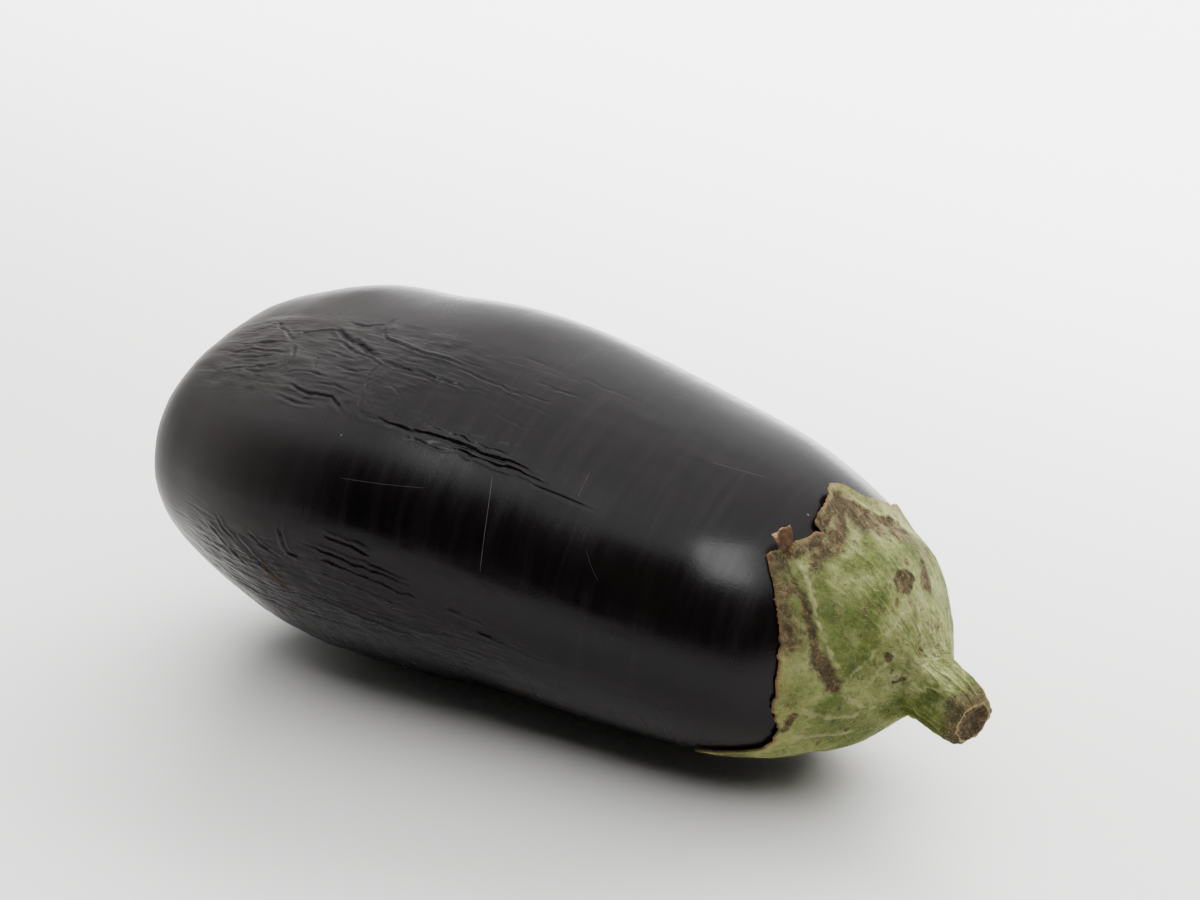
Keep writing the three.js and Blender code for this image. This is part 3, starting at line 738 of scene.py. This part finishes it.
# Strokes on the calyx: a path of x and angle from the blossom tip, then half width, strength
# and height in millimetres.
calyxStrokes = {
    "brown": [
        ([(164.9, 127.5), (168.3, 134), (172.2, 141.5), (176.2, 157.5), (179.6, 169), (181.1, 175.5)],
         1.0, 1.0, -0.35),
        ([(176.8, 160), (179.6, 169), (181.1, 175.5)], 1.8, 1.0, -0.2),
        ([(161.5, 129), (164.2, 128.5), (167, 137), (169.5, 149), (170.6, 157)], 2.2, 0.8, 0.1),
        ([(164.9, 85.5), (167.5, 84), (170, 81), (171.7, 71.5), (173.5, 61.5), (174.7, 53)],
         2.0, 0.95, -0.15),
        ([(164.6, 88), (165.1, 94), (166.2, 102), (167.4, 113.5), (166.5, 119), (165, 124)],
         1.9, 0.9, -0.1),
        ([(173, 60), (176.5, 46), (178, 36)], 2.2, 0.62, 0.1),
        ([(166.5, 90), (169, 96), (170.5, 108), (169.5, 118)], 3.2, 0.76, 0.0),
        ([(168, 88), (171, 84), (174, 72), (177, 60), (178, 48)], 3.8, 0.7, 0.0),
        ([(164, 132), (168, 142), (171.5, 158)], 3.6, 0.7, 0.0),
        ([(173.4, 33), (177.2, 36.5)], 1.4, 0.6, 0.0),
        ([(180.9, 79), (181.9, 78), (182.6, 86), (182.1, 95.5), (181.2, 93), (180.6, 85), (180.9, 79)],
         0.6, 1.0, 0.25),
        ([(181.6, 86)], 1.9, 0.9, -0.4),
        ([(182.9, 99), (183.3, 102)], 0.8, 0.8, -0.1),
        ([(180.6, 60), (182.9, 64)], 1.9, 1.0, -0.15),
        ([(186.3, 141)], 0.8, 0.9, -0.1),
        ([(189.4, 105)], 0.6, 0.8, -0.1),
        ([(181.7, 212.5)], 0.7, 0.8, 0.0),
        ([(179.6, 76.5)], 0.6, 0.8, 0.0),
        ([(188.9, 166.5), (190.4, 151.5)], 0.5, 1.0, -0.3),
        ([(171, 200), (172.4, 197), (174, 191.5)], 0.9, 0.85, 0.1),
        ([(160, 219), (154, 221.6), (150, 222.7)], 0.9, 0.75, 0.0),
        ([(176, 250), (182, 262)], 1.2, 0.7, -0.1),
        ([(180, 10), (184, 2)], 1.3, 0.8, -0.1),
        ([(172, 318), (178, 326)], 1.5, 0.7, -0.1),
    ],
    "green": [
        ([(177, 141), (180, 153.5), (182.5, 163)], 3.0, 1.0, -0.15),
        ([(179.8, 135), (181.1, 124), (181.5, 112.5)], 3.2, 0.95, -0.15),
        ([(174.4, 92), (176.9, 98.5), (175.3, 111)], 2.6, 0.85, 0.0),
        ([(171, 122), (174, 131)], 2.0, 0.75, 0.0),
        ([(182.2, 131), (183.6, 142), (183.2, 152)], 2.8, 1.0, -0.1),
        ([(176.6, 70), (178.6, 64)], 2.0, 0.7, 0.0),
        ([(186.5, 150), (189, 140), (190, 120)], 1.3, 0.7, -0.2),
        ([(178, 290), (183, 300)], 3.4, 0.8, 0.0),
        ([(178, 14), (183, 22)], 3.4, 0.8, 0.0),
        ([(181.5, 182), (179, 190)], 1.8, 0.7, 0.0),
        ([(187, 200), (189, 250)], 2.0, 0.8, 0.0),
    ],
    "pale": [
        ([(166.2, 82), (169.2, 75.5), (171.1, 66.5), (172.1, 54)], 0.36, 1.0, 0.5),
        ([(169.2, 60), (170.7, 46)], 0.54, 0.7, 0.1),
        ([(167.6, 127), (170.4, 131), (172.3, 136.5), (174.5, 144), (177.1, 151.5), (178.9, 158),
          (180.6, 162.5)], 0.27, 0.95, 0.3),
        ([(184.4, 100.5), (185, 120.5), (184.6, 136.5), (184.1, 152.5), (182.8, 166)], 0.27, 0.9, 0.3),
        ([(187.3, 116.5), (186.5, 151.5), (185.4, 173.5)], 0.27, 0.9, 0.3),
        ([(185, 64), (188.6, 77.5)], 0.24, 0.9, 0.25),
        ([(184.7, 36.5), (188.2, 40.5)], 0.24, 0.9, 0.25),
        ([(184.6, 84), (188.4, 98)], 0.21, 0.8, 0.2),
        ([(173.3, 205.5), (178.4, 208.5), (182.3, 216.5)], 0.54, 0.75, 0.25),
        ([(174.5, 186), (178.4, 192), (183.5, 200)], 0.54, 0.6, 0.2),
        ([(182, 180), (184.4, 190), (187, 202)], 0.3, 0.75, 0.2),
    ],
}


# strokes of one kind, at places in space: the greatest strength times exp(-(d / half width)^2),
# where d is the distance less 0.2, waved a little, and the sum of the heights times the same; a
# path of one point is a dot
def strokeMask(key, places):
    total = np.zeros(places.shape[:-1])
    height = np.zeros(places.shape[:-1])
    wobble = latticeNoise(places[..., 1] * 0.7 + 40, places[..., 2] * 0.7, 37, 3)
    for path, width, strength, lift in calyxStrokes[key]:
        path = np.array(path, float)
        if len(path) == 1:
            path = path + [[0, 0], [0.2, 0.5]]
        between = np.linspace(0, len(path) - 1, 4 * len(path) - 3)
        fine = np.stack([np.interp(between, np.arange(len(path)), path[:, k]) for k in (0, 1)], 1)
        station = np.interp(fine[:, 0], capTable, capStations)
        line = calyxSurface(station, fine[:, 1], np.full(len(station), 1.2), np.zeros(len(station)))
        d, _ = lineDistance(places, line)
        d = d + 0.5 * wobble
        falloff = np.exp(-((d - 0.2).clip(0) / width) ** 2)
        total = np.maximum(total, strength * falloff)
        height += lift * falloff
    return total, height


# painted light: how far an angle faces up and a little to the front, towards the lights, where
# the stem is painted palest: a smooth step of the sine of the angle less 35 degrees
def litSideShare(angle):
    return smoothStep(0.2, 0.9, np.sin(np.radians(angle - 35)))


# fine relief: veins, the crests of a noise that is long from the stem to the rim, then knots,
# puckers and soft lumps, weighted and added
def calyxRelief(angle, share, distance):
    drift = 9 * latticeNoise(angle * 0.03, share * 2.5, 34, 2)
    veins = crests(latticeNoise((angle + drift) * 0.11, share * 1.2, 31, 2), 6)
    lumps = latticeNoise(angle * 0.06, share * 5.0, 32, 4)
    puckers = latticeNoise(angle * 0.12, distance * 0.4, 33, 4)
    edge = 1 - smoothStep(0, 6, distance)
    knots = latticeNoise(angle * 0.2, share * 14.0, 38, 3)
    soft = calyxLook["lumpHeight"] * lumps + calyxLook["puckerHeight"] * puckers
    fine = calyxLook["veinHeight"] * veins + calyxLook["knotHeight"] * knots
    return fine + soft * (0.6 + 0.4 * edge), veins


# one closed skin: the underside from the middle to the rim, the rim's edge, and the outside from
# the rim to the neck; masks for the strokes, the veins, the rim and the neck
def makeCalyx():
    turn = np.linspace(0, 360, calyxLook["columns"], endpoint=False)[None, :]
    share = np.linspace(0, 1, calyxLook["outerRows"])[:, None] ** 1.15
    angle = np.broadcast_to(turn, (calyxLook["outerRows"], turn.shape[1]))
    outer, distance = calyxOutside(angle, share)
    relief, veins = calyxRelief(angle, share, distance)
    masks = {"veins": veins * smoothStep(0, 0.15, share)}
    for key in calyxStrokes:
        masks[key], lift = strokeMask(key, outer)
        relief = relief + lift
    outer = liftedRings(outer, relief * window(share, (0, 0.05, 0.95, 1)))
    innerShare = np.linspace(1, 0, calyxLook["innerRows"])[:, None]
    inner = calyxInside(np.broadcast_to(turn, (calyxLook["innerRows"], turn.shape[1])), innerShare)
    edge = (inner[-1] + outer[0]) / 2 + unit(outer[0] - outer[1]) * calyxLook["rimBulge"]
    rings = np.concatenate([inner, edge[None], outer])
    hidden = np.zeros((calyxLook["innerRows"] + 1, turn.shape[1]))
    masks["rimEdge"] = np.exp(-np.maximum(distance, 0) / 0.45)
    masks["neck"] = smoothStep(0.62, 0.95, share + 0.1 * latticeNoise(angle * 0.1, share, 36))
    # the top mask is painted light: it pales the upper side of the neck
    masks["top"] = litSideShare(angle)
    masks["straw"] = smoothStep(0, 1, 1 - distance / 5)
    masks = {key: np.concatenate([hidden, value + 0 * angle]) for key, value in masks.items()}
    masks["rimEdge"][:len(hidden)] = 1
    first = skin(fruitLast, 0.0) + (calyxLook["gap"], 0, 0)
    return meshOfRings("calyx_sepals", rings, first, neckMiddle, masks, sharpRows=(len(rings) - 1,))


# the stem: ridged rings along a line that droops by droop (along / length)^2, with bark, knobs
# and veins, closed by a shallow fibrous cut
def makeStem():
    sections = np.array(stemLook["sections"], float)
    t = np.linspace(0, len(sections) - 1, stemLook["rows"])
    at = alongRows(sections, t)
    along = at[:, 0][:, None]
    radius = at[:, 1][:, None]
    angle = np.linspace(0, 360, stemLook["columns"], endpoint=False)[None, :]
    a = np.radians(angle)
    r = radius * ridged(angle)
    cut = smoothStep(len(sections) - 3.2, len(sections) - 2, t)[:, None]
    body = (1 - cut) * smoothStep(0, 0.6, t)[:, None]
    bark = latticeNoise(angle * 0.11, along * 0.25, 51, 4)
    knobs = latticeNoise(angle * 0.04, along * 0.35, 52, 3)
    veins = crests(latticeNoise(angle * 0.07, along * 0.1, 54, 2), 5)
    relief = stemLook["barkHeight"] * bark + stemLook["knobHeight"] * knobs + stemLook["veinHeight"] * veins
    r = r + body * (relief - stemLook["sunk"])
    droop = stemLook["droop"] * (along / stemLook["length"]) ** 2
    middle = neckMiddle + along[..., None] * stemDirection
    middle = middle + np.stack([0 * droop, 0 * droop, -droop], -1)
    fibres = latticeNoise(r * np.cos(a) * 1.4, r * np.sin(a) * 1.4, 53, 3)
    hollow = stemLook["hollow"] * (1 - smoothStep(0, 5, r))
    rings = middle + spokes(r, angle, np.ones(r.shape))
    rings = rings + (cut * (stemLook["fibreHeight"] * fibres - hollow))[..., None] * stemDirection
    # the top mask is painted light: it pales the upper side of the stem
    masks = {"cut": cut + 0 * r, "core": cut * (1 - smoothStep(3.4, 5.4, r)),
             "endward": smoothStep(6, 14, along) + 0 * r, "veins": veins * body,
             "top": litSideShare(angle) + 0 * r}
    last = neckMiddle + (stemLook["length"] - 1.0) * stemDirection - (0, 0, stemLook["droop"])
    return meshOfRings("stem_stalk", rings, neckMiddle, last, masks, sharpRows=(0,))


# The dried scrap of sepal that stands up from the rim and curls back on itself.
curlLook = {"x": 164.0, "angle": 124.6, "width": 4.4, "length": 5.8, "thickness": 0.4,
            "radius": 3.6, "foot": 0.3, "cup": 1.1, "rise": 0.6, "rows": 48, "columns": 28}


# a strip bent round a circle, narrow at its foot and wide at its free end, and cupped by
# cup w^2 s, where w runs from -1 to 1 across it and s from 0 to 1 along it
def makeCurl():
    station = stationAt(curlLook["x"])
    normal = skinNormal(station, curlLook["angle"])
    root = skin(station, curlLook["angle"]) + curlLook["rise"] * normal
    back = skin(station - 0.1, curlLook["angle"] - 2.0) - skin(station, curlLook["angle"])
    back = unit(back - (back @ normal) * normal)
    across = np.cross(normal, back)
    s = np.linspace(0, 1, curlLook["rows"])[:, None]
    w = np.linspace(-1, 1, curlLook["columns"])[None, :]
    ragged = latticeNoise(w * 3 + 5, s * 0 + 2, 61, 3)
    bend = curlLook["length"] * (s * (1 + 0.12 * ragged * s)) / curlLook["radius"]
    lift = curlLook["radius"] * np.sin(bend)
    reach = curlLook["radius"] * (1 - np.cos(bend))
    half = curlLook["width"] / 2 * (curlLook["foot"] + (1 - curlLook["foot"]) * smoothStep(0.1, 0.8, s))
    half = half * (1 + 0.08 * latticeNoise(s * 4, w * 0, 62))
    facing = np.cos(bend)[..., None] * -back + np.sin(bend)[..., None] * normal
    middle = (root + lift[..., None] * normal + reach[..., None] * back
              + (w * half)[..., None] * across)
    cupped = curlLook["cup"] * w**2 * s + 0.14 * latticeNoise(w * 2.5, s * 4, 63)
    middle = middle + cupped[..., None] * facing
    top = middle + curlLook["thickness"] / 2 * facing
    under = middle - curlLook["thickness"] / 2 * facing
    loop = np.concatenate([under, top[:, ::-1]], 1)
    masks = {"rimEdge": smoothStep(0.9, 1, s) + 0 * loop[..., 0]}
    return meshOfRings("calyx_curl", loop, loop[0].mean(0), loop[-1].mean(0), masks)


# Colours of the green and the dried tissue; those in a row go from the darkest to the palest.
tissueLook = {
    "sage": ((0.095, 0.118, 0.026), (0.2, 0.218, 0.07), (0.285, 0.295, 0.125)),
    "vivid": ((0.036, 0.056, 0.004), (0.1, 0.125, 0.018)),
    "brown": ((0.014, 0.008, 0.004), (0.048, 0.03, 0.012), (0.16, 0.11, 0.05)),
    "dry": ((0.04, 0.018, 0.008), (0.2, 0.1, 0.04)),
    "straw": (0.2, 0.16, 0.04), "vein": (0.25, 0.25, 0.1), "paleStroke": (0.34, 0.32, 0.15),
    "stemVein": (0.33, 0.31, 0.12), "cutRing": ((0.1, 0.075, 0.02), (0.34, 0.26, 0.11)),
    "tornEnd": (0.28, 0.17, 0.08), "roughness": 0.7, "reflection": 0.16,
}


# one node group for all green and dried tissue: sage and vivid greens, browns and the grain
def makeTissue():
    tree = bpy.data.node_groups.new("calyx_tissue", "ShaderNodeTree")
    tree.interface.new_socket("Place", in_out="INPUT", socket_type="NodeSocketVector")
    for name, kind in (("Sage", "Color"), ("Vivid", "Color"), ("Brown", "Color"), ("Dry", "Color"),
                       ("Fine", "Float"), ("Patches", "Float"), ("Fibre", "Float")):
        tree.interface.new_socket(name, in_out="OUTPUT", socket_type="NodeSocket" + kind)
    s = Shader("tissue", tree)
    place = tree.nodes.new("NodeGroupInput").outputs[0]
    patches = s.noise(place, 150, 6, 0.62)
    broad = s.noise(place, 55, 3, 0.5)
    fine = s.noise(place, 750, 5, 0.65)
    wool = s.noise(place, 420, 6, 0.7, 1.2)
    turned = s.add("Mapping", Vector=place, Scale=(200, 800, 800), Rotation=(0, 0.1, -0.28))
    fibre = s.noise(turned, 1.0, 4, 0.6)
    both = s.math("ADD", s.times(patches, 0.55), s.times(broad, 0.45))
    sage = s.shades(both, 0.4, 0.6, tissueLook["sage"])
    vivid = s.shades(patches, 0.3, 0.7, tissueLook["vivid"])
    brown = s.shades(wool, 0.32, 0.68, tissueLook["brown"])
    dry = s.shades(patches, 0.38, 0.62, tissueLook["dry"])
    shade = s.mix(0.5, s.ramp(fine, (0.3, 0.3), (0.7, 1.5)), s.ramp(wool, (0.35, 0.45), (0.65, 1.5)))
    sage = s.mix(0.75, sage, shade, "MULTIPLY")
    vivid = s.mix(0.75, vivid, shade, "MULTIPLY")
    end = tree.nodes.new("NodeGroupOutput")
    for name, value in (("Sage", sage), ("Vivid", vivid), ("Brown", brown), ("Dry", dry),
                        ("Fine", fine), ("Patches", patches), ("Fibre", fibre)):
        tree.links.new(value, end.inputs[name])
    return tree


tissueGroup = makeTissue()


# a material's copy of the tissue group, on object coordinates
def tissueOf(s):
    group = s.add("Group", {"node_tree": tissueGroup})
    s.feed(group, "Place", s.add("TexCoord").outputs["Object"])
    return group.outputs


# matt woolly surface with a fibrous bump
def woolly(s, tissue, colour):
    normal = s.bump(tissue["Fibre"], 0.0005, 0.5)
    normal = s.bump(tissue["Patches"], 0.0012, 0.5, normal)
    normal = s.bump(tissue["Fine"], 0.0005, 1.0, normal)
    return s.finish(Base_Color=colour, Roughness=tissueLook["roughness"], Normal=normal,
                    Specular_IOR_Level=tissueLook["reflection"])


# the colour of the stem and the neck: vivid, with paler sage patches on the upper side as painted light
def stalkColour(s, tissue):
    # painted light: on the upper side, the top mask, the colour turns to the paler sage in patches
    pale = s.times(s.mask("top"), s.ramp(tissue["Patches"], (0.4, 0.0), (0.62, 0.9)))
    return s.mix(pale, tissue["Vivid"], tissue["Sage"])


# the calyx: sage with vivid patches, straw veins, brown strokes, flecks and a dried rim
def calyxMaterial():
    s = Shader("calyx_green")
    tissue = tissueOf(s)
    patches = tissue["Patches"]
    fine = tissue["Fine"]
    green = s.times(s.torn(s.mask("green"), patches, 1.1, 0.34), 0.85)
    colour = s.mix(green, tissue["Sage"], tissue["Vivid"])
    straw = s.times(s.mask("straw"), s.ramp(patches, (0.4, 0.0), (0.6, 0.55)))
    colour = s.mix(straw, colour, tissueLook["straw"])
    veins = s.times(s.ramp(s.mask("veins"), (0.45, 0.0), (1.0, 0.5)), patches)
    colour = s.mix(veins, colour, tissueLook["vein"])
    pale = s.times(s.torn(s.mask("pale"), fine, 0.8, 0.4), 0.55)
    colour = s.mix(pale, colour, tissueLook["paleStroke"])
    # the neck takes the stalk colour, with its painted light on the upper side
    colour = s.mix(s.mask("neck"), colour, stalkColour(s, tissue))
    flecks = s.ramp(s.noise(s.stretched((1, 1, 1)), 300, 6, 0.75), (0.54, 0.0), (0.64, 0.75))
    colour = s.mix(flecks, colour, tissue["Brown"])
    brown = s.torn(s.mask("brown"), patches, 1.3, 0.22)
    colour = s.mix(s.times(brown, 0.95), colour, tissue["Brown"])
    edge = s.times(s.torn(s.mask("rimEdge"), fine, 0.9, 0.25), 0.85)
    return woolly(s, tissue, s.mix(edge, colour, tissue["Dry"]))


# the stem: vivid green below, paler above as painted light, pale on its ribs, browner towards
# the cut; the cut has a straw ring round a brown core
def stemMaterial():
    s = Shader("stem_green")
    tissue = tissueOf(s)
    colour = stalkColour(s, tissue)
    veins = s.times(s.ramp(s.mask("veins"), (0.4, 0.0), (0.9, 0.9)), tissue["Fine"])
    colour = s.mix(veins, colour, tissueLook["stemVein"])
    worn = s.torn(s.times(s.mask("endward"), 0.85), tissue["Patches"], 1.9, 0.15)
    colour = s.mix(s.times(worn, 0.8), colour, tissue["Brown"])
    ring = s.mix(tissue["Fine"], *tissueLook["cutRing"])
    colour = s.mix(s.torn(s.mask("cut"), tissue["Fine"], 0.6, 0.15), colour, ring)
    core = s.torn(s.mask("core"), tissue["Patches"], 0.9, 0.15)
    return woolly(s, tissue, s.mix(core, colour, tissue["Brown"]))


# the dried scrap: orange-brown with a paler torn end
def driedMaterial():
    s = Shader("calyx_dried")
    tissue = tissueOf(s)
    end = s.torn(s.mask("rimEdge"), tissue["Fine"], 0.8, 0.2)
    colour = s.mix(end, tissue["Dry"], tissueLook["tornEnd"])
    flecks = s.ramp(tissue["Fine"], (0.5, 0.0), (0.7, 0.6))
    return woolly(s, tissue, s.mix(flecks, colour, tissue["Brown"]))


# Fine hairs, thin needles of four triangles each, in millimetres.
hairLook = {"count": 3600, "length": (0.4, 1.2), "radius": 0.028, "lean": 0.7, "farthest": 123.5,
            "colour": (0.4, 0.37, 0.18)}


# needles on random points of the pieces, even by area, leaning at random from the normal: three
# points round the root, joined to one at the tip
def makeHairs(pieces):
    rng = np.random.default_rng(71)
    places = []
    normals = []
    for piece, firstVertex in pieces:
        mesh = piece.data
        count = len(mesh.vertices)
        co = np.zeros(count * 3, np.float32)
        mesh.vertices.foreach_get("co", co)
        normal = np.zeros(count * 3, np.float32)
        mesh.vertex_normals.foreach_get("vector", normal)
        places.append(co.reshape(-1, 3)[firstVertex:-2] / mm)
        normals.append(normal.reshape(-1, 3)[firstVertex:-2])
    places = np.concatenate(places).astype(float)
    normals = np.concatenate(normals).astype(float)
    cell = np.floor(places / 0.8).astype(int)
    _, first = np.unique(cell, axis=0, return_index=True)
    chosen = rng.choice(first, hairLook["count"], replace=len(first) < hairLook["count"])
    root = places[chosen]
    up = unit(normals[chosen] + hairLook["lean"] * rng.normal(size=(len(chosen), 3)))
    tip = root + up * rng.uniform(*hairLook["length"], (len(chosen), 1))
    standing = (up * normals[chosen]).sum(1) > 0.25
    keep = (tip[:, 0] < hairLook["farthest"]) & (tip[:, 2] > 1) & standing
    root, up, tip = root[keep], up[keep], tip[keep]
    side = unit(np.cross(up, (0.3, 0.5, 0.8)))
    other = np.cross(up, side)
    turns = np.radians((0, 120, 240))
    corners = [root - 0.1 * up + hairLook["radius"] * (math.cos(t) * side + math.sin(t) * other)
               for t in turns]
    points = np.stack([*corners, tip], 1).reshape(-1, 3) * mm
    faces = np.array([(0, 1, 3), (1, 2, 3), (2, 0, 3), (2, 1, 0)])
    faces = (faces[None] + 4 * np.arange(len(root))[:, None, None]).reshape(-1, 3)
    mesh = bpy.data.meshes.new("calyx_hairs")
    mesh.from_pydata(points.tolist(), [], faces.tolist())
    s = Shader("hairs")
    mesh.materials.append(s.finish(Base_Color=hairLook["colour"], Roughness=0.8, Specular_IOR_Level=0.2))
    return newObject("calyx_hairs", mesh)


calyx = makeCalyx()
calyx.data.materials.append(calyxMaterial())
stem = makeStem()
stem.data.materials.append(stemMaterial())
curl = makeCurl()
curl.data.materials.append(driedMaterial())
hairs = makeHairs([(calyx, (calyxLook["innerRows"] + 1) * calyxLook["columns"]), (stem, 0)])
for piece, node in ((calyx, "calyx"), (stem, "stem")):
    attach(piece, "root")
    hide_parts(node)
for piece in (curl, hairs):
    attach(piece, "root")
print("calyx", len(calyx.data.polygons), "stem", len(stem.data.polygons), "hairs", len(hairs.data.polygons))


# The stage: a pale floor, soft lights, and the camera at the photo's angle. A lamp whose lights
# is False is only reflected, and one whose seen is False only lights.
stageLook = {"floor": 2.4, "colour": (0.8, 0.79, 0.775), "glow": 2.3, "glowFrom": 0.02, "glowTo": 0.36,
             "world": 0.02}
lights = {
    "ceiling": {"place": (0.0, 0.62, 1.3), "aim": (0.0, 0.62, 0), "size": (3.4, 3.3),
                "radiance": 3.1, "lights": False},
    "back": {"place": (0.0, 2.0, 0.57), "aim": (0.0, 0, 0.57), "size": (3.4, 1.1), "radiance": 2.6,
             "lights": False},
    "left": {"place": (-1.7, 0.45, 0.62), "aim": (0, 0.45, 0.62), "size": (3.0, 1.1),
             "radiance": 0.9},
    "shoulder": {"place": (0.47, -0.62, 1.26), "aim": (0.07, -0.02, 0.06), "size": (0.6, 0.8),
                 "radiance": 12.0, "lights": False},
    "key": {"place": (-0.1, 0.58, 1.3), "aim": (-0.1, 0.4, 0), "size": (3.3, 3.25), "radiance": 3.1,
            "seen": False},
    "floor_glow": {"place": (-0.3, 1.2, 0.9), "aim": (-0.3, 0.75, 0), "size": (2.2, 0.9),
                   "radiance": 13.0, "seen": False},
}
view = {"azimuth": 35.0, "elevation": 28.0, "distance": 0.8, "lens": 107.5,
        "target": (0.0282, -0.004, 0.067)}


# a square floor in the plane z = 0, which glows more towards the back: strength times the smooth
# step of y from glowFrom to glowTo
def makeFloor():
    half = stageLook["floor"] / 2
    mesh = bpy.data.meshes.new("floor")
    corners = [(-half, -half, 0), (half, -half, 0), (half, half, 0), (-half, half, 0)]
    mesh.from_pydata(corners, [], [(0, 1, 2, 3)])
    floor = newObject("floor", mesh)
    s = Shader("floor")
    place = s.add("SeparateXYZ", Vector=s.add("TexCoord").outputs["Object"]).outputs["Y"]
    glow = s.add("MapRange", {"interpolation_type": "SMOOTHSTEP"}, i0=place, i1=stageLook["glowFrom"],
                 i2=stageLook["glowTo"], i3=0.0, i4=stageLook["glow"])
    mesh.materials.append(s.finish(Base_Color=stageLook["colour"], Roughness=0.6,
                                   Emission_Color=(1, 1, 1), Emission_Strength=glow))


# a rectangular lamp of an even radiance: energy = radiance pi width height
def softLight(name, look):
    width, height = look["size"]
    light = bpy.data.lights.new(name, "AREA")
    light.shape = "RECTANGLE"
    light.size = width
    light.size_y = height
    light.energy = look["radiance"] * math.pi * width * height
    lamp = newObject(name, light)
    lamp.location = look["place"]
    away = Vector(look["place"]) - Vector(look["aim"])
    lamp.rotation_euler = away.to_track_quat("Z", "Y").to_euler()
    lamp.visible_glossy = look.get("seen", True)
    lamp.visible_diffuse = look.get("lights", True)


# the camera stands off its target by distance (sin a cos e, -cos a cos e, sin e)
def makeCamera():
    a = math.radians(view["azimuth"])
    e = math.radians(view["elevation"])
    back = np.array([math.sin(a) * math.cos(e), -math.cos(a) * math.cos(e), math.sin(e)])
    camera = bpy.data.cameras.new("camera")
    camera.lens = view["lens"]
    camera.sensor_width = 36
    camera.clip_start = 0.01
    holder = newObject("camera", camera)
    holder.location = np.array(view["target"]) + back * view["distance"]
    holder.rotation_euler = (math.pi / 2 - e, 0, a)
    bpy.context.scene.camera = holder


makeFloor()
for name, light in lights.items():
    softLight(name, light)
makeCamera()

world = bpy.data.worlds.new("studio")
bpy.context.scene.world = world
world.use_nodes = True
surround = world.node_tree.nodes["Background"].inputs
surround["Color"].default_value = (1, 1, 1, 1)
surround["Strength"].default_value = stageLook["world"]

print("stage", len(lights), "lights")
